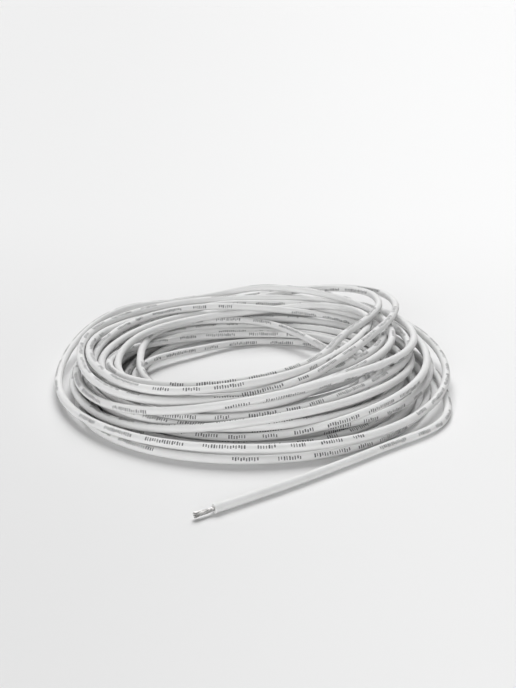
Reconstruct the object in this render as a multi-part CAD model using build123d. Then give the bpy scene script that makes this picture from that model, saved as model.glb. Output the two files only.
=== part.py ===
from build123d import *
import math
import os
import numpy as np

# Driving sizes in millimetres: the wire, then the coil it lies in.
WIRE_OD = 2.8
STRAND_DIAMETER = 0.24
STRIPPED_LENGTH = 6.5
COIL_RADIUS = 73.5
PILE_HEIGHT = 7 * WIRE_OD

# The coil is laid out at eight bearings a turn, E, NE, N, NW, W, SW, S and SE,
# and its solid has a many-sided section at each of the stations between them,
# with a corner down where it touches the floor.
BEARINGS = 8
STATIONS = 24
SECTION_SIDES = 10
CORNER_DOWN = 90

# The first turns lie flat on the floor, each inside the one before it. Distances
# from the middle are in hundredths of the coil's radius.
FLOOR_TURNS = 5
FLOOR_REACH_SHARES = (96, 93, 90, 90, 86, 97, 96, 95)
FLOOR_STEP_SHARE = 7

# The turns that lie loose on them, in the order the wire runs: distances from the
# middle as above, then heights off the floor in hundredths of the pile's height.
LOOSE_TURN_SHARES = [
    ((61, 59, 49, 44, 59, 64, 63, 59), (0, 0, 0, 0, 0, 8, 13, 13)),
    ((52, 48, 60, 69, 59, 61, 64, 63), (13, 21, 35, 32, 29, 36, 39, 36)),
    ((68, 64, 56, 63, 71, 73, 72, 68), (18, 14, 14, 14, 14, 14, 14, 14)),
    ((69, 67, 61, 68, 76, 78, 73, 72), (29, 29, 28, 28, 30, 26, 26, 30)),
    ((78, 75, 68, 75, 82, 84, 78, 78), (30, 29, 29, 22, 29, 18, 15, 15)),
    ((76, 73, 64, 71, 78, 80, 72, 84), (14, 14, 14, 14, 14, 14, 10, 18)),
    ((92, 95, 82, 82, 84, 84, 79, 85), (26, 29, 18, 16, 14, 12, 12, 40)),
    ((90, 94, 76, 79, 90, 90, 78, 76), (44, 39, 36, 36, 16, 4, 29, 41)),
    ((84, 82, 65, 79, 82, 82, 76, 70), (44, 46, 49, 49, 46, 31, 42, 50)),
    ((82, 86, 71, 76, 87, 86, 69, 62), (54, 54, 55, 41, 34, 28, 51, 56)),
    ((82, 91, 78, 82, 84, 80, 67, 60), (60, 55, 54, 48, 52, 39, 57, 49)),
    ((60, 59, 52, 61, 73, 72, 56, 46), (29, 16, 10, 13, 34, 56, 72, 80)),
    ((50, 96, 86, 82, 83, 78, 62, 50), (88, 90, 53, 46, 56, 55, 69, 75)),
    ((57, 80, 64, 62, 70, 76, 66, 53), (81, 60, 38, 32, 36, 44, 60, 74)),
    ((63, 104, 92, 88, 88, 76, 65, 55), (84, 82, 52, 40, 42, 49, 63, 66)),
    ((67, 78, 68, 69, 77, 76, 68, 56), (73, 54, 44, 42, 38, 42, 56, 64)),
    ((70, 79, 86, 104, 99, 97, 95, 96), (72, 74, 77, 49, 6, 4, 12, 9)),
    ((100, 102, 95, 90), (21, 42, 40, 28)),
]

# Single waves in the lie of the wire: the place in turns from the coil's start, the
# shift outwards and upwards in hundredths as above, and the spread in turns.
WAVE_SHARES = [
    (12.72, 3, 0, 0.06),
    (14.3, 4, 5, 0.05),
    (15.24, -4, 4, 0.05),
    (15.6, 3, 4, 0.05),
    (17.2, 3, 3, 0.04),
    (17.66, 3, 0, 0.05),
    (18.62, -3, 4, 0.05),
    (18.84, 3, 3, 0.04),
    (19.28, -4, 0, 0.05),
    (19.72, -2, 4, 0.05),
    (20.55, 3, 4, 0.05),
    (21.315, 0, -26, 0.042),
]

# How the turns settle where they would run into each other: contacts are felt at
# a few places in each stretch between stations, and the wire spreads each shift.
CONTACTS_PER_STRETCH = 4
TURN_PITCH = 1.085 * WIRE_OD
SETTLE_STEPS = 400
FREE_STEPS = 160
SPREAD_SHARE = 0.1
RETURN_SHARE = 0.015
PUSH_SHARE = 0.75
LATER_ABOVE = WIRE_OD / 2800

# The uncoiled tail's route on the floor, stripped end first, in hundredths of the
# coil's radius across and along. It ends where the first turn begins.
TAIL_ROUTE_SHARES = [
    (-13.6, -134.6),
    (12.2, -117.8),
    (38.1, -98.5),
    (62.6, -79.2),
    (78.2, -68.3),
    (87.8, -58.0),
    (93.1, -45.4),
    (95.1, -30.7),
    (95.8, -15.0),
]
ARC_SHARE = 0.45

# The conductor: rings of strands round a middle one, seated in a close bore.
STRAND_RINGS = 2
STRAND_SIDES = 8
STRAND_PITCH = 1.01 * STRAND_DIAMETER
BORE_DIAMETER = (2 * STRAND_RINGS + 1) * STRAND_PITCH
SEATED_LENGTH = 4 * WIRE_OD


def turn_knots():
    """Distance from the middle and height of the wire at each bearing, in order."""
    knots = []
    for turn in range(FLOOR_TURNS):
        knots += [(reach - turn * FLOOR_STEP_SHARE, 0) for reach in FLOOR_REACH_SHARES]
    for reaches, lifts in LOOSE_TURN_SHARES:
        knots += zip(reaches, lifts)
    return np.array(knots) / 100 * (COIL_RADIUS, PILE_HEIGHT) + (0, WIRE_OD / 2)


def smooth_between(knots, places):
    """Points of a smooth curve through evenly spaced knots."""
    slopes = np.gradient(knots, axis=0)
    before = np.minimum(places.astype(int), len(knots) - 2)
    t = (places - before)[:, None]
    return (
        knots[before] * (2 * t**3 - 3 * t**2 + 1)
        + slopes[before] * (t**3 - 2 * t**2 + t)
        + knots[before + 1] * (3 * t**2 - 2 * t**3)
        + slopes[before + 1] * (t**3 - t**2)
    )


def settle(wanted):
    """Move the turns apart where they would run into each other or the floor."""
    contacts = np.arange((len(wanted) - 1) * CONTACTS_PER_STRETCH)
    station, step = np.divmod(contacts, CONTACTS_PER_STRETCH)
    after = (step / CONTACTS_PER_STRETCH)[:, None]
    contacts_per_turn = STATIONS * CONTACTS_PER_STRETCH
    lower, upper = np.triu_indices(len(contacts), contacts_per_turn)
    same_bearing = (upper - lower) % contacts_per_turn == 0
    lower, upper = lower[same_bearing], upper[same_bearing]
    place = wanted.copy()
    for round_number in range(SETTLE_STEPS + FREE_STEPS):
        shift = place - wanted
        shift[1:-1] += SPREAD_SHARE * ((shift[:-2] + shift[2:]) / 2 - shift[1:-1])
        if round_number < SETTLE_STEPS:
            shift *= 1 - RETURN_SHARE
        place = wanted + shift
        felt = place[station] * (1 - after) + place[station + 1] * after
        apart = felt[upper] - felt[lower] + (0, LATER_ABOVE)
        distance = np.linalg.norm(apart, axis=1, keepdims=True)
        push = PUSH_SHARE * np.maximum(TURN_PITCH - distance, 0) * apart / distance
        touching = distance < TURN_PITCH
        moved = np.zeros_like(felt)
        touches = np.zeros((len(felt), 1))
        for index, sign in ((upper, 1), (lower, -1)):
            np.add.at(moved, index, sign * push)
            np.add.at(touches, index, touching)
        moved /= np.sqrt(touches + 1)
        pulled = np.zeros_like(place)
        weight = np.zeros((len(place), 1))
        for index, share in ((station, 1 - after), (station + 1, after)):
            np.add.at(pulled, index, share * moved)
            np.add.at(weight, index, share * (touches > 0))
        place += pulled / np.maximum(weight, 1)
        place[:, 1] = np.maximum(place[:, 1], WIRE_OD / 2)
    return place


def coil_route():
    """Points of the wire's middle line, turn after turn, from the floor up."""
    knots = turn_knots()
    stations = np.arange((len(knots) - 1) * STATIONS // BEARINGS + 1)
    wanted = smooth_between(knots, stations * BEARINGS / STATIONS)
    for place, outward, upward, spread in WAVE_SHARES:
        swell = np.exp(-(((stations / STATIONS - place) / spread) ** 2))
        wanted += swell[:, None] / 100 * (outward * COIL_RADIUS, upward * PILE_HEIGHT)
    reach, height = settle(wanted).T
    bearing = 2 * math.pi * stations / STATIONS
    across, along = reach * np.cos(bearing), reach * np.sin(bearing)
    return [Vector(*point) for point in zip(across.tolist(), along.tolist(), height.tolist())]


def tail_route(coil_start):
    """Points of the tail's middle line, from the stripped end to the coil."""
    scale = COIL_RADIUS / 100
    return [Vector(x * scale, y * scale, WIRE_OD / 2) for x, y in TAIL_ROUTE_SHARES] + [coil_start]


def arc_radii(points):
    """Radius of the arc at each corner, as large as its two runs allow."""
    radii = []
    for before, corner, after in zip(points, points[1:], points[2:]):
        run_in, run_out = corner - before, after - corner
        half_turn = math.radians(run_in.get_angle(run_out)) / 2
        radii.append(ARC_SHARE * min(run_in.length, run_out.length) / math.tan(half_turn))
    return radii


def make_coil(points, start_direction):
    """One tube along all the turns, with a section square to the wire at each station."""
    sections = []
    for number, point in enumerate(points):
        after = points[min(number + 1, len(points) - 1)]
        along = after - points[number - 1] if number else start_direction
        square_on = Plane(point, x_dir=Vector(0, 0, 1).cross(along), z_dir=along)
        sections.append(square_on * RegularPolygon(WIRE_OD / 2, SECTION_SIDES, rotation=CORNER_DOWN))
    return loft(sections, ruled=True)


def make_tail(points):
    """Round tube along the tail, bored where the stripped conductor sits."""
    radii = arc_radii(points)
    path = FilletPolyline(*points, radius=radii)
    end_plane = Plane(points[0], z_dir=points[1] - points[0])
    tube = sweep(end_plane * Circle(WIRE_OD / 2), path=path)
    section = math.pi * WIRE_OD**2 / 4
    print("tail arc radii", [round(radius, 1) for radius in radii])
    print("tail volume against section times length", round(tube.volume / section / path.length, 4))
    return tube - extrude(end_plane * Circle(BORE_DIAMETER / 2), SEATED_LENGTH)


def strand_places():
    """Centres of the strands across the wire: hexagonal rings round a middle one."""
    places = [(0, 0)]
    for ring in range(1, STRAND_RINGS + 1):
        corners = [Vector(ring * STRAND_PITCH, 0, 0).rotate(Axis.Z, 60 * side) for side in range(7)]
        for corner, next_corner in zip(corners, corners[1:]):
            for step in range(ring):
                place = corner + (next_corner - corner) * (step / ring)
                places.append((place.X, place.Y))
    return places


def make_strands(points):
    """Bare strands that stand out of the stripped end."""
    outward = (points[0] - points[1]).normalized()
    seat = Plane(points[0] - outward * SEATED_LENGTH, z_dir=outward)
    section = RegularPolygon(STRAND_DIAMETER / 2, STRAND_SIDES)
    length = SEATED_LENGTH + STRIPPED_LENGTH
    return Compound(children=[extrude(seat * Pos(x, y) * section, length) for x, y in strand_places()])


coil_points = coil_route()
tail_points = tail_route(coil_points[0])
parts = {
    "wire_coil": make_coil(coil_points, tail_points[-1] - tail_points[-2]),
    "wire_tail": make_tail(tail_points),
    "conductor_strands": make_strands(tail_points),
}
coil_length = sum((end - start).length for start, end in zip(coil_points, coil_points[1:]))
print("coil length", round(coil_length))

os.makedirs("parts", exist_ok=True)
for name, shape in parts.items():
    shape.label = name
    export_step(shape, f"parts/{name}.step")
    print(name, "volume", round(shape.volume, 1), "solids", len(shape.solids()), "valid", shape.is_valid)
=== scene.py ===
import math

import bpy
import numpy as np
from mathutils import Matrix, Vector


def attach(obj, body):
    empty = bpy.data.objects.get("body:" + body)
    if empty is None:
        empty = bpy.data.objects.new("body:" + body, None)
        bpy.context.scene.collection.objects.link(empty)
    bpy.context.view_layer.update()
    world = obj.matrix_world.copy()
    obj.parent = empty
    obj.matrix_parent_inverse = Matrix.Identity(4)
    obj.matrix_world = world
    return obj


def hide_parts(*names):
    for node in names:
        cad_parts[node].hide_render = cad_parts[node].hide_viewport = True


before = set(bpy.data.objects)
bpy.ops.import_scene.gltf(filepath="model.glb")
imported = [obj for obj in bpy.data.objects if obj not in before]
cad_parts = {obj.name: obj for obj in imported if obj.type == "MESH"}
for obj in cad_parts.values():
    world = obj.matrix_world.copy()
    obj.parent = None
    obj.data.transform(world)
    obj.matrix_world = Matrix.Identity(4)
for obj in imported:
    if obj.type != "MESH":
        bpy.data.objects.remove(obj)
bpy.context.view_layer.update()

# Sizes in metres: the wire, its conductor, and the coil it lies in.
WIRE_OD = 0.0028
WIRE_RADIUS = WIRE_OD / 2
STRAND_DIAMETER = 0.00024
STRIPPED_LENGTH = 0.0065
COIL_RADIUS = 0.0735
PILE_HEIGHT = 7 * WIRE_OD
STRAND_PITCH = 1.01 * STRAND_DIAMETER
STRAND_RINGS = 2
STRANDS_PER_RING = 6
BORE_RADIUS = (STRAND_RINGS + 0.5) * STRAND_PITCH

# The coil's lay: bearings E, NE, N, NW, W, SW, S and SE, distances from the middle in
# hundredths of the coil's radius and heights in hundredths of the pile's height.
BEARINGS = 8
STATIONS = 24
FLOOR_TURNS = 5
FLOOR_REACH_SHARES = (96, 93, 90, 90, 86, 97, 96, 95)
FLOOR_STEP_SHARE = 7
LOOSE_TURN_SHARES = [
    ((61, 59, 49, 44, 59, 64, 63, 59), (0, 0, 0, 0, 0, 8, 13, 13)),
    ((52, 48, 60, 69, 59, 61, 64, 63), (13, 21, 35, 32, 29, 36, 39, 36)),
    ((68, 64, 56, 63, 71, 73, 72, 68), (18, 14, 14, 14, 14, 14, 14, 14)),
    ((69, 67, 61, 68, 76, 78, 73, 72), (29, 29, 28, 28, 30, 26, 26, 30)),
    ((78, 75, 68, 75, 82, 84, 78, 78), (30, 29, 29, 22, 29, 18, 15, 15)),
    ((76, 73, 64, 71, 78, 80, 72, 84), (14, 14, 14, 14, 14, 14, 10, 18)),
    ((92, 95, 82, 82, 84, 84, 79, 85), (26, 29, 18, 16, 14, 12, 12, 40)),
    ((90, 94, 76, 79, 90, 90, 78, 76), (44, 39, 36, 36, 16, 4, 29, 41)),
    ((84, 82, 65, 79, 82, 82, 76, 70), (44, 46, 49, 49, 46, 31, 42, 50)),
    ((82, 86, 71, 76, 87, 86, 69, 62), (54, 54, 55, 41, 34, 28, 51, 56)),
    ((82, 91, 78, 82, 84, 80, 67, 60), (60, 55, 54, 48, 52, 39, 57, 49)),
    ((60, 59, 52, 61, 73, 72, 56, 46), (29, 16, 10, 13, 34, 56, 72, 80)),
    ((50, 96, 86, 82, 83, 78, 62, 50), (88, 90, 53, 46, 56, 55, 69, 75)),
    ((57, 80, 64, 62, 70, 76, 66, 53), (81, 60, 38, 32, 36, 44, 60, 74)),
    ((63, 104, 92, 88, 88, 76, 65, 55), (84, 82, 52, 40, 42, 49, 63, 66)),
    ((67, 78, 68, 69, 77, 76, 68, 56), (73, 54, 44, 42, 38, 42, 56, 64)),
    ((70, 79, 86, 104, 99, 97, 95, 96), (72, 74, 77, 49, 6, 4, 12, 9)),
    ((100, 102, 95, 90), (21, 42, 40, 28)),
]

# Single waves in the lie of the wire: the place in turns from the coil's start, the
# shift outwards and upwards in hundredths as above, and the spread in turns.
WAVE_SHARES = [
    (12.72, 3, 0, 0.06),
    (14.3, 4, 5, 0.05),
    (15.24, -4, 4, 0.05),
    (15.6, 3, 4, 0.05),
    (17.2, 3, 3, 0.04),
    (17.66, 3, 0, 0.05),
    (18.62, -3, 4, 0.05),
    (18.84, 3, 3, 0.04),
    (19.28, -4, 0, 0.05),
    (19.72, -2, 4, 0.05),
    (20.55, 3, 4, 0.05),
    (21.315, 0, -26, 0.042),
]

# How the turns settle against each other.
CONTACTS_PER_STRETCH = 4
TURN_PITCH = 1.085 * WIRE_OD
SETTLE_STEPS = 400
FREE_STEPS = 160
SPREAD_SHARE = 0.1
RETURN_SHARE = 0.015
PUSH_SHARE = 0.75
LATER_ABOVE = WIRE_OD / 2800

# The uncoiled tail's route on the floor, stripped end first, in hundredths of the radius.
TAIL_ROUTE_SHARES = [
    (-13.6, -134.6),
    (12.2, -117.8),
    (38.1, -98.5),
    (62.6, -79.2),
    (78.2, -68.3),
    (87.8, -58.0),
    (93.1, -45.4),
    (95.1, -30.7),
    (95.8, -15.0),
]

# The meshes: points of the line per control point, sides of the tube, cut edges, and the
# angle between faces from which an edge is sharp.
LINE_STEPS = 4
WIRE_SIDES = 24
EDGE_ROUND = 0.00007
BORE_DEPTH = 0.002
CUT_RECESS = 0.0003
SHARP_ANGLE = math.radians(40)

# The bare end: how the strands twist and spread, and how much they differ.
STRAND_SIDES = 10
STRAND_STEPS = 16
LAY_LENGTH = 0.026
TIP_SPREAD_SHARE = 0.6
TIP_SPREAD_RANGE = (0.75, 1.25)
TIP_SPREAD_POWER = 1.5
TIP_SHORTER = 0.00035
TIP_DRIFT = 0.00005

# The other end: how far the strands' cut ends stand out of the insulation.
CUT_PROUD_RANGE = (-0.00012, 0.00002)

# The ink marks: rows of plain ticks along one side of the wire, in groups. That side swings
# round the wire: by how much, over what length, and where in the swing it starts.
TICK_PITCH = 0.00084
TICK_WIDTHS = (0.00028, 0.00054)
TICK_HEIGHT = 0.00125
SHORT_TICK_SHARE = 0.78
TICKS_PER_GROUP = (5, 18)
GROUP_GAPS = (0.0026, 0.006)
GROUPS_PER_ROW = 8
ROW_GAP = 0.025
FIRST_MARK = 0.062
INK_LIFT = 0.000012
TICK_STEPS = 6
MARKS_FACE = Vector((0, -0.72, 0.69))
MARK_WANDERS = [(0.85, 0.52, 0), (0.75, 1.2, -1)]

# The camera, from the photograph: 516 by 688 pixels.
IMAGE_SIZE = (516, 688)
FOCAL_PIXELS = 917
COIL_PIXEL = (252, 378)
CAMERA_DISTANCE = 0.35
CAMERA_ELEVATION = math.radians(22.5)
SENSOR = 36
CAMERA_NEAR = 0.01

# The light: a wide lamp above and behind, a low soft fill from the front, and the surround.
# A lamp has a name, a strength, a width in degrees and the direction it shines from. The
# surround lights the wire, and is seen in a multiple of the floor's shade.
LAMPS = [
    ("key_light", 3.08, 40, (0.04, 0.67, 0.74)),
    ("front_fill", 3.05, 55, (-0.28, -1, 0.13)),
]
SURROUND_LIGHT = 0.14
SURROUND_SEEN = 1.043

# The floor's shade, and painted light: how much lighter its colour is painted to the back
# and to the right: where that starts and stops, and by how much. To the back these are shares
# of the distance from the middle, which is never taken as less than the near distance. To the
# right they are shares of the width of a fan that opens from in front of the middle to the back.
FLOOR_SHADE = 0.742
FLOOR_NEAR = 0.4
PAINTED_LIGHT_TO_BACK = (-0.45, 0.75, 0.095)
PAINTED_LIGHT_TO_RIGHT = (-0.28, 0.28, 0.1)
FLOOR_FAN = 0.45
FLOOR_FAN_SHARE = 0.7
FLOOR_SIZE = 80
FLOOR_ROUGHNESS = 0.9

# The materials: shades and roughnesses that a noise goes between, and the scale and detail
# of each noise.
RAMP_ENDS = (0.35, 0.65)
INSULATION_SHADES = ((0.735, 0.735, 0.731), (0.785, 0.785, 0.783))
INSULATION_ROUGHNESS = (0.58, 0.7)
INSULATION_SHINE = 0.12
SMUDGE_NOISE = (70, 4)
STREAK_LEVELS = (0.965, 1)
STREAK_NOISE = (1, 3)
STREAK_STRETCH = (60, 1900, 1900)
STREAK_BUMP = 0.12
STREAK_DEPTH = 0.0001
STRAND_SHADES = ((0.28, 0.274, 0.267), (0.6, 0.594, 0.586))
STRAND_ROUGHNESS = (0.5, 0.3)
STRAND_CUT_SHADE = (0.09, 0.08, 0.072)
TARNISH_NOISE = (900, 4)
INK_SHADES = ((0.07, 0.07, 0.074), (0.21, 0.21, 0.214))
INK_ROUGHNESS = 0.6
INK_NOISE = (1500, 2)

rng = np.random.default_rng(18)


def turn_knots():
    """Distance from the middle and height of the wire at each bearing, in order."""
    knots = []
    for turn in range(FLOOR_TURNS):
        knots += [(reach - turn * FLOOR_STEP_SHARE, 0) for reach in FLOOR_REACH_SHARES]
    for reaches, lifts in LOOSE_TURN_SHARES:
        knots += zip(reaches, lifts)
    return np.array(knots) / 100 * (COIL_RADIUS, PILE_HEIGHT) + (0, WIRE_RADIUS)


def smooth_between(knots, places):
    """Points of a smooth curve through evenly spaced knots."""
    slopes = np.gradient(knots, axis=0)
    before = np.minimum(places.astype(int), len(knots) - 2)
    t = (places - before)[:, None]
    return (
        knots[before] * (2 * t**3 - 3 * t**2 + 1)
        + slopes[before] * (t**3 - 2 * t**2 + t)
        + knots[before + 1] * (3 * t**2 - 2 * t**3)
        + slopes[before + 1] * (t**3 - t**2)
    )


def settle(wanted):
    """Move the turns apart where they would run into each other or the floor."""
    contacts = np.arange((len(wanted) - 1) * CONTACTS_PER_STRETCH)
    station, step = np.divmod(contacts, CONTACTS_PER_STRETCH)
    after = (step / CONTACTS_PER_STRETCH)[:, None]
    contacts_per_turn = STATIONS * CONTACTS_PER_STRETCH
    lower, upper = np.triu_indices(len(contacts), contacts_per_turn)
    same_bearing = (upper - lower) % contacts_per_turn == 0
    lower, upper = lower[same_bearing], upper[same_bearing]
    place = wanted.copy()
    for round_number in range(SETTLE_STEPS + FREE_STEPS):
        shift = place - wanted
        shift[1:-1] += SPREAD_SHARE * ((shift[:-2] + shift[2:]) / 2 - shift[1:-1])
        if round_number < SETTLE_STEPS:
            shift *= 1 - RETURN_SHARE
        place = wanted + shift
        felt = place[station] * (1 - after) + place[station + 1] * after
        apart = felt[upper] - felt[lower] + (0, LATER_ABOVE)
        distance = np.linalg.norm(apart, axis=1, keepdims=True)
        push = PUSH_SHARE * np.maximum(TURN_PITCH - distance, 0) * apart / distance
        touching = distance < TURN_PITCH
        moved = np.zeros_like(felt)
        touches = np.zeros((len(felt), 1))
        for index, sign in ((upper, 1), (lower, -1)):
            np.add.at(moved, index, sign * push)
            np.add.at(touches, index, touching)
        moved /= np.sqrt(touches + 1)
        pulled = np.zeros_like(place)
        weight = np.zeros((len(place), 1))
        for index, share in ((station, 1 - after), (station + 1, after)):
            np.add.at(pulled, index, share * moved)
            np.add.at(weight, index, share * (touches > 0))
        place += pulled / np.maximum(weight, 1)
        place[:, 1] = np.maximum(place[:, 1], WIRE_RADIUS)
    return place


def route_points():
    """The wire's route from its stripped end, along the tail and round every turn."""
    knots = turn_knots()
    stations = np.arange((len(knots) - 1) * STATIONS // BEARINGS + 1)
    wanted = smooth_between(knots, stations * BEARINGS / STATIONS)
    for place, outward, upward, spread in WAVE_SHARES:
        swell = np.exp(-(((stations / STATIONS - place) / spread) ** 2))
        wanted += swell[:, None] / 100 * (outward * COIL_RADIUS, upward * PILE_HEIGHT)
    reach, height = settle(wanted).T
    bearing = 2 * math.pi * stations / STATIONS
    coil = np.stack([reach * np.cos(bearing), reach * np.sin(bearing), height], axis=1)
    tail = [
        (x / 100 * COIL_RADIUS, y / 100 * COIL_RADIUS, WIRE_RADIUS) for x, y in TAIL_ROUTE_SHARES
    ]
    return np.concatenate([tail, coil])


def line_of(points):
    """Points along the smooth line that has the route's points as control points."""
    curve = bpy.data.curves.new("route", "CURVE")
    curve.dimensions = "3D"
    spline = curve.splines.new("NURBS")
    spline.points.add(len(points) - 1)
    for control, point in zip(spline.points, points):
        control.co = (*point, 1)
    spline.order_u = 3
    spline.use_endpoint_u = True
    spline.resolution_u = LINE_STEPS
    holder = bpy.data.objects.new("route", curve)
    mesh = bpy.data.meshes.new_from_object(holder)
    line = np.array([vertex.co for vertex in mesh.vertices])
    bpy.data.objects.remove(holder)
    bpy.data.curves.remove(curve)
    bpy.data.meshes.remove(mesh)
    return line


def unit(vectors):
    return vectors / np.linalg.norm(vectors, axis=-1, keepdims=True)


class Line:
    """The wire's middle line, with its direction and two directions across it."""

    def __init__(self, points):
        self.points = points
        steps = np.linalg.norm(np.diff(points, axis=0), axis=1)
        self.place = np.concatenate([[0], np.cumsum(steps)])
        self.length = self.place[-1]
        self.along = unit(np.gradient(points, self.place, axis=0))
        self.side = unit(np.cross((0, 0, 1), self.along))
        self.up = np.cross(self.along, self.side)

    def at(self, place):
        """Point, direction, side and up at a distance along the wire."""
        rows = np.stack([self.points, self.along, self.side, self.up], axis=1)
        index = np.clip(np.searchsorted(self.place, place) - 1, 0, len(self.place) - 2)
        share = (place - self.place[index]) / (self.place[index + 1] - self.place[index])
        return rows[index] * (1 - share) + rows[index + 1] * share


def add_piece(name, vertices, faces, material):
    mesh = bpy.data.meshes.new(name)
    mesh.from_pydata([tuple(vertex) for vertex in vertices], [], faces)
    mesh.polygons.foreach_set("use_smooth", [True] * len(faces))
    mesh.set_sharp_from_angle(angle=SHARP_ANGLE)
    mesh.materials.append(material)
    piece = bpy.data.objects.new(name, mesh)
    bpy.context.scene.collection.objects.link(piece)
    return piece


def tube_faces(rings, sides, start=0):
    """Faces of a closed tube: walls from ring to ring, and a cap on each end."""
    faces = []
    for ring in range(rings - 1):
        low, high = start + ring * sides, start + (ring + 1) * sides
        for side in range(sides):
            after = (side + 1) % sides
            faces.append((low + side, low + after, high + after, high + side))
    last = start + (rings - 1) * sides
    faces.append(tuple(range(start + sides - 1, start - 1, -1)))
    faces.append(tuple(range(last, last + sides)))
    return faces


def make_wire(line, material):
    """The insulation: a round tube along the whole line, cut square at both ends."""
    start, end = line.at(0), line.at(line.length)
    rings = [
        (start[0] + start[1] * BORE_DEPTH, *start[2:], BORE_RADIUS, 0),
        (start[0], *start[2:], BORE_RADIUS, 0),
        (start[0], *start[2:], WIRE_RADIUS - EDGE_ROUND, 0),
        (start[0] + start[1] * EDGE_ROUND, *start[2:], WIRE_RADIUS, EDGE_ROUND),
    ]
    inner = zip(line.points[1:-1], line.side[1:-1], line.up[1:-1], line.place[1:-1])
    rings += [(centre, side, up, WIRE_RADIUS, place) for centre, side, up, place in inner]
    rings += [
        (end[0] - end[1] * EDGE_ROUND, *end[2:], WIRE_RADIUS, line.length - EDGE_ROUND),
        (end[0], *end[2:], WIRE_RADIUS - EDGE_ROUND, line.length),
        (end[0], *end[2:], BORE_RADIUS, line.length),
        (end[0] - end[1] * CUT_RECESS, *end[2:], BORE_RADIUS, line.length),
    ]
    angles = np.arange(WIRE_SIDES) * 2 * math.pi / WIRE_SIDES
    vertices, straight = [], []
    for centre, side, up, radius, place in rings:
        across, above = radius * np.cos(angles), radius * np.sin(angles)
        vertices += list(centre + across[:, None] * side + above[:, None] * up)
        straight += list(zip([place] * WIRE_SIDES, across, above))
    piece = add_piece("insulated_wire", vertices, tube_faces(len(rings), WIRE_SIDES), material)
    layer = piece.data.attributes.new("straight", "FLOAT_VECTOR", "POINT")
    layer.data.foreach_set("vector", np.array(straight, dtype=np.float32).ravel())
    return piece


def mark_cuts(piece):
    """Mark the cut faces, the only ones with more than four corners, for the material."""
    cut = [float(len(polygon.vertices) > 4) for polygon in piece.data.polygons]
    piece.data.attributes.new("cut", "FLOAT", "FACE").data.foreach_set("value", cut)


def strand_places():
    """Centres of the strands across the wire, as distance from the middle and angle."""
    places = [(0, 0)]
    for ring in range(1, STRAND_RINGS + 1):
        strands_here = STRANDS_PER_RING * ring
        for number in range(strands_here):
            places.append((ring * STRAND_PITCH, 2 * math.pi * number / strands_here))
    return places


def strand_outline(side, up):
    """Points round a strand, from its middle."""
    around = np.arange(STRAND_SIDES) * 2 * math.pi / STRAND_SIDES
    return (np.cos(around)[:, None] * side + np.sin(around)[:, None] * up) * STRAND_DIAMETER / 2


def make_strands(line, material):
    """The bare conductor: twisted strands that open a little towards their cut tips."""
    origin, along, side, up = line.at(0)
    outline = strand_outline(side, -up)
    vertices, faces = [], []
    for reach, angle in strand_places():
        length = STRIPPED_LENGTH - rng.uniform(0, TIP_SHORTER)
        spread = TIP_SPREAD_SHARE * rng.uniform(*TIP_SPREAD_RANGE)
        drift = rng.normal(0, TIP_DRIFT, 2)
        first = len(vertices)
        for out in np.linspace(-BORE_DEPTH, length, STRAND_STEPS):
            opened = max(out, 0) / STRIPPED_LENGTH
            turned = angle + 2 * math.pi * out / LAY_LENGTH
            wide = reach * (1 + spread * opened**TIP_SPREAD_POWER)
            x = wide * math.cos(turned) + drift[0] * opened
            y = wide * math.sin(turned) + drift[1] * opened
            centre = origin - along * out + side * x + up * y
            vertices += list(centre + outline)
        faces += tube_faces(STRAND_STEPS, STRAND_SIDES, first)
    piece = add_piece("bare_strands", vertices, faces, material)
    mark_cuts(piece)
    return piece


def make_cut_end(line, material):
    """The strands' ends in the wire's other, square-cut end."""
    origin, along, side, up = line.at(line.length)
    outline = strand_outline(side, up)
    vertices, faces = [], []
    for reach, angle in strand_places():
        first = len(vertices)
        centre = origin + side * reach * math.cos(angle) + up * reach * math.sin(angle)
        for out in (-2 * CUT_RECESS, rng.uniform(*CUT_PROUD_RANGE)):
            vertices += list(centre + along * out + outline)
        faces += tube_faces(2, STRAND_SIDES, first)
    piece = add_piece("cut_end_strands", vertices, faces, material)
    mark_cuts(piece)
    return piece


def mark_angle(line, place):
    """Angle round the wire of its marked side, which wanders as the wire twists."""
    side, up = line.at(place)[2:]
    angle = math.atan2(MARKS_FACE.dot(Vector(up)), MARKS_FACE.dot(Vector(side)))
    for swing, length, start in MARK_WANDERS:
        angle += swing * math.sin(2 * math.pi * place / length + start)
    return angle


def make_marks(line, material):
    """Groups of plain ink ticks along the wire, laid on its surface."""
    full = TICK_HEIGHT / WIRE_OD
    short = full * (2 * SHORT_TICK_SHARE - 1)
    vertices, faces = [], []
    place, group = FIRST_MARK, 0
    while place < line.length - ROW_GAP:
        for _ in range(rng.integers(*TICKS_PER_GROUP)):
            width = rng.uniform(*TICK_WIDTHS)
            below, above = ((full, full), (short, full), (full, short))[rng.integers(3)]
            middle = mark_angle(line, place)
            first = len(vertices)
            for edge in (place, place + width):
                centre, _, side, up = line.at(edge)
                for angle in np.linspace(middle - below, middle + above, TICK_STEPS):
                    outward = side * math.cos(angle) + up * math.sin(angle)
                    vertices.append(centre + outward * (WIRE_RADIUS + INK_LIFT))
            for step in range(TICK_STEPS - 1):
                low = first + step
                faces.append((low, low + 1, low + TICK_STEPS + 1, low + TICK_STEPS))
            place += TICK_PITCH
        group += 1
        place += rng.uniform(*GROUP_GAPS) if group % GROUPS_PER_ROW else ROW_GAP
    return add_piece("ink_marks", vertices, faces, material)


def new_material(name):
    material = bpy.data.materials.new(name)
    material.use_nodes = True
    return material, material.node_tree.nodes, material.node_tree.links


def greys(levels):
    """Grey colours of the given levels."""
    return [(level, level, level) for level in levels]


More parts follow.
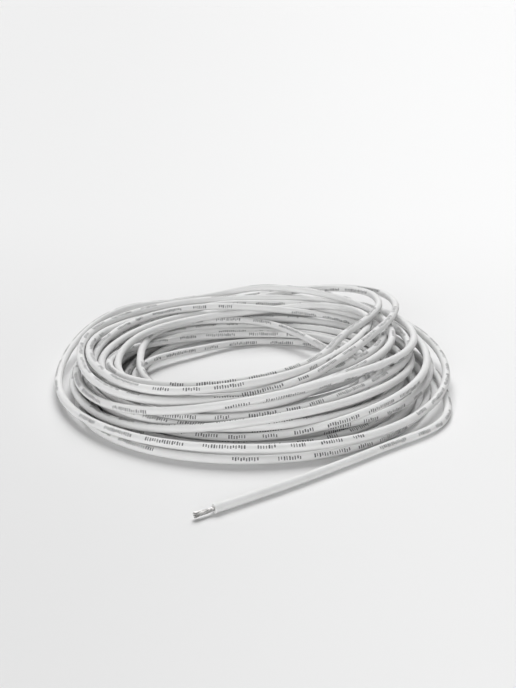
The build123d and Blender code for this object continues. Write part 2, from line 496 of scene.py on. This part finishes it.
def noise_of(nodes, links, source, scale, detail, stretch=(1, 1, 1)):
    """A noise texture on stretched coordinates."""
    mapping = nodes.new("ShaderNodeMapping")
    mapping.inputs["Scale"].default_value = stretch
    noise = nodes.new("ShaderNodeTexNoise")
    noise.inputs["Scale"].default_value = scale
    noise.inputs["Detail"].default_value = detail
    links.new(source, mapping.inputs["Vector"])
    links.new(mapping.outputs["Vector"], noise.inputs["Vector"])
    return noise.outputs["Fac"]


def ramp_of(nodes, links, factor, colours):
    """A colour ramp between two colours over part of the factor's range."""
    ramp = nodes.new("ShaderNodeValToRGB")
    for element, place, colour in zip(ramp.color_ramp.elements, RAMP_ENDS, colours):
        element.position = place
        element.color = (*colour, 1)
    links.new(factor, ramp.inputs["Fac"])
    return ramp.outputs["Color"]


def math_of(nodes, links, operation, first, second):
    """A maths node on a socket and a second socket or number."""
    node = nodes.new("ShaderNodeMath")
    node.operation = operation
    links.new(first, node.inputs[0])
    if isinstance(second, (int, float)):
        node.inputs[1].default_value = second
    else:
        links.new(second, node.inputs[1])
    return node.outputs["Value"]


def step_of(nodes, links, value, start, stop, gain):
    """A smooth step from zero to the gain over part of the input's range."""
    node = nodes.new("ShaderNodeMapRange")
    node.interpolation_type = "SMOOTHSTEP"
    node.inputs["From Min"].default_value = start
    node.inputs["From Max"].default_value = stop
    node.inputs["To Min"].default_value = 0
    node.inputs["To Max"].default_value = gain
    links.new(value, node.inputs["Value"])
    return node.outputs["Result"]


def insulation_material():
    """White extruded insulation: satin, with faint lengthwise streaks and smudges."""
    material, nodes, links = new_material("white_insulation")
    shader = nodes["Principled BSDF"]
    shader.inputs["Specular IOR Level"].default_value = INSULATION_SHINE
    straight = nodes.new("ShaderNodeAttribute")
    straight.attribute_name = "straight"
    place = nodes.new("ShaderNodeTexCoord").outputs["Object"]
    streaks = noise_of(nodes, links, straight.outputs["Vector"], *STREAK_NOISE, STREAK_STRETCH)
    smudges = noise_of(nodes, links, place, *SMUDGE_NOISE)
    shades = ramp_of(nodes, links, smudges, INSULATION_SHADES)
    roughness = ramp_of(nodes, links, smudges, greys(INSULATION_ROUGHNESS))
    colour = nodes.new("ShaderNodeMix")
    colour.data_type = "RGBA"
    colour.blend_type = "MULTIPLY"
    colour.inputs["Factor"].default_value = 1
    links.new(shades, colour.inputs["A"])
    links.new(ramp_of(nodes, links, streaks, greys(STREAK_LEVELS)), colour.inputs["B"])
    links.new(colour.outputs["Result"], shader.inputs["Base Color"])
    links.new(roughness, shader.inputs["Roughness"])
    bump = nodes.new("ShaderNodeBump")
    bump.inputs["Strength"].default_value = STREAK_BUMP
    bump.inputs["Distance"].default_value = STREAK_DEPTH
    links.new(streaks, bump.inputs["Height"])
    links.new(bump.outputs["Normal"], shader.inputs["Normal"])
    return material


def strand_material():
    """Tinned copper: dull silver, unevenly tarnished, and dark where it is cut."""
    material, nodes, links = new_material("tinned_copper")
    shader = nodes["Principled BSDF"]
    shader.inputs["Metallic"].default_value = 1
    place = nodes.new("ShaderNodeTexCoord").outputs["Object"]
    tarnish = noise_of(nodes, links, place, *TARNISH_NOISE)
    shades = ramp_of(nodes, links, tarnish, STRAND_SHADES)
    roughness = ramp_of(nodes, links, tarnish, greys(STRAND_ROUGHNESS))
    cut = nodes.new("ShaderNodeAttribute")
    cut.attribute_name = "cut"
    colour = nodes.new("ShaderNodeMix")
    colour.data_type = "RGBA"
    colour.inputs["B"].default_value = (*STRAND_CUT_SHADE, 1)
    links.new(cut.outputs["Fac"], colour.inputs["Factor"])
    links.new(shades, colour.inputs["A"])
    links.new(colour.outputs["Result"], shader.inputs["Base Color"])
    links.new(roughness, shader.inputs["Roughness"])
    return material


def ink_material():
    """Grey-black marking ink, thin and uneven."""
    material, nodes, links = new_material("marking_ink")
    shader = nodes["Principled BSDF"]
    shader.inputs["Roughness"].default_value = INK_ROUGHNESS
    place = nodes.new("ShaderNodeTexCoord").outputs["Object"]
    wear = noise_of(nodes, links, place, *INK_NOISE)
    links.new(ramp_of(nodes, links, wear, INK_SHADES), shader.inputs["Base Color"])
    return material


def shade_with_painted_light(nodes, links, place):
    """The floor's shade at a place on it, with painted light: lighter to the right and back."""
    parts = nodes.new("ShaderNodeSeparateXYZ")
    links.new(place, parts.inputs["Vector"])
    reach = nodes.new("ShaderNodeVectorMath")
    reach.operation = "LENGTH"
    links.new(place, reach.inputs["Vector"])
    span = math_of(nodes, links, "MAXIMUM", reach.outputs["Value"], FLOOR_NEAR)
    backwards = math_of(nodes, links, "DIVIDE", parts.outputs["Y"], span)
    ahead = math_of(nodes, links, "ADD", parts.outputs["Y"], FLOOR_FAN)
    least = math_of(nodes, links, "MULTIPLY", span, FLOOR_FAN_SHARE)
    width = math_of(nodes, links, "MAXIMUM", ahead, least)
    sideways = math_of(nodes, links, "DIVIDE", parts.outputs["X"], width)
    # Painted light: the floor's colour made lighter to the back and to the right.
    painted_back = step_of(nodes, links, backwards, *PAINTED_LIGHT_TO_BACK)
    painted_right = step_of(nodes, links, sideways, *PAINTED_LIGHT_TO_RIGHT)
    lighter = math_of(nodes, links, "ADD", painted_back, painted_right)
    return math_of(nodes, links, "ADD", lighter, FLOOR_SHADE)


def floor_material():
    """Pale matt floor, with painted light: its colour lighter to the back and to the right."""
    material, nodes, links = new_material("pale_floor")
    shader = nodes["Principled BSDF"]
    shader.inputs["Roughness"].default_value = FLOOR_ROUGHNESS
    shader.inputs["Specular IOR Level"].default_value = 0
    place = nodes.new("ShaderNodeTexCoord").outputs["Object"]
    links.new(shade_with_painted_light(nodes, links, place), shader.inputs["Base Color"])
    return material


def make_floor():
    """The floor that the coil lies on."""
    bpy.ops.mesh.primitive_plane_add(size=FLOOR_SIZE)
    floor = bpy.context.object
    floor.name = "floor"
    floor.data.materials.append(floor_material())


def make_surround():
    """A weak even light, seen by the camera in the far floor's shade, so no horizon shows."""
    world = bpy.data.worlds.new("studio")
    bpy.context.scene.world = world
    world.use_nodes = True
    nodes, links = world.node_tree.nodes, world.node_tree.links
    ambient = nodes["Background"]
    ambient.inputs["Color"].default_value = (1, 1, 1, 1)
    ambient.inputs["Strength"].default_value = SURROUND_LIGHT
    seen = nodes.new("ShaderNodeBackground")
    far = nodes.new("ShaderNodeVectorMath")
    far.operation = "SCALE"
    far.inputs["Scale"].default_value = FLOOR_SIZE / 2
    links.new(nodes.new("ShaderNodeTexCoord").outputs["Generated"], far.inputs["Vector"])
    # The backdrop carries the floor's painted light, lighter to the back and to the right.
    shade = shade_with_painted_light(nodes, links, far.outputs["Vector"])
    links.new(math_of(nodes, links, "MULTIPLY", shade, SURROUND_SEEN), seen.inputs["Color"])
    path = nodes.new("ShaderNodeLightPath").outputs
    direct = math_of(nodes, links, "MAXIMUM", path["Is Camera Ray"], path["Is Glossy Ray"])
    direct = math_of(nodes, links, "MAXIMUM", direct, path["Is Transmission Ray"])
    mixed = nodes.new("ShaderNodeMixShader")
    links.new(direct, mixed.inputs["Fac"])
    links.new(ambient.outputs["Background"], mixed.inputs[1])
    links.new(seen.outputs["Background"], mixed.inputs[2])
    links.new(mixed.outputs["Shader"], nodes["World Output"].inputs["Surface"])


def make_lamps():
    """The lamps, each far away in its direction."""
    for name, energy, spread, towards in LAMPS:
        light = bpy.data.lights.new(name, "SUN")
        light.energy = energy
        light.angle = math.radians(spread)
        lamp = bpy.data.objects.new(name, light)
        lamp.rotation_euler = Vector(towards).to_track_quat("Z", "Y").to_euler()
        bpy.context.scene.collection.objects.link(lamp)


def make_camera():
    """The photograph's camera: above the floor in front, looking down at the coil."""
    width, height = IMAGE_SIZE
    tilt = CAMERA_ELEVATION - math.atan((COIL_PIXEL[1] - height / 2) / FOCAL_PIXELS)
    ahead = CAMERA_DISTANCE * math.cos(CAMERA_ELEVATION - tilt)
    data = bpy.data.cameras.new("camera")
    data.sensor_width = SENSOR
    data.lens = FOCAL_PIXELS / height * SENSOR
    data.clip_start = CAMERA_NEAR
    camera = bpy.data.objects.new("camera", data)
    camera.location = (
        (width / 2 - COIL_PIXEL[0]) / FOCAL_PIXELS * ahead,
        -CAMERA_DISTANCE * math.cos(CAMERA_ELEVATION),
        CAMERA_DISTANCE * math.sin(CAMERA_ELEVATION),
    )
    camera.rotation_euler = (math.pi / 2 - tilt, 0, 0)
    bpy.context.scene.collection.objects.link(camera)
    bpy.context.scene.camera = camera


line = Line(line_of(route_points()))
tinned = strand_material()
wire = make_wire(line, insulation_material())
strands = make_strands(line, tinned)
cut_end = make_cut_end(line, tinned)
marks = make_marks(line, ink_material())

for piece, slot in (
    (wire, "insulation"),
    (strands, "conductor"),
    (cut_end, "conductor"),
    (marks, "insulation"),
):
    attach(piece, "root")
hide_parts("wire_coil", "wire_tail")
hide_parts("conductor_strands")

make_floor()
make_surround()
make_lamps()
make_camera()
bpy.context.scene.view_settings.view_transform = "Standard"
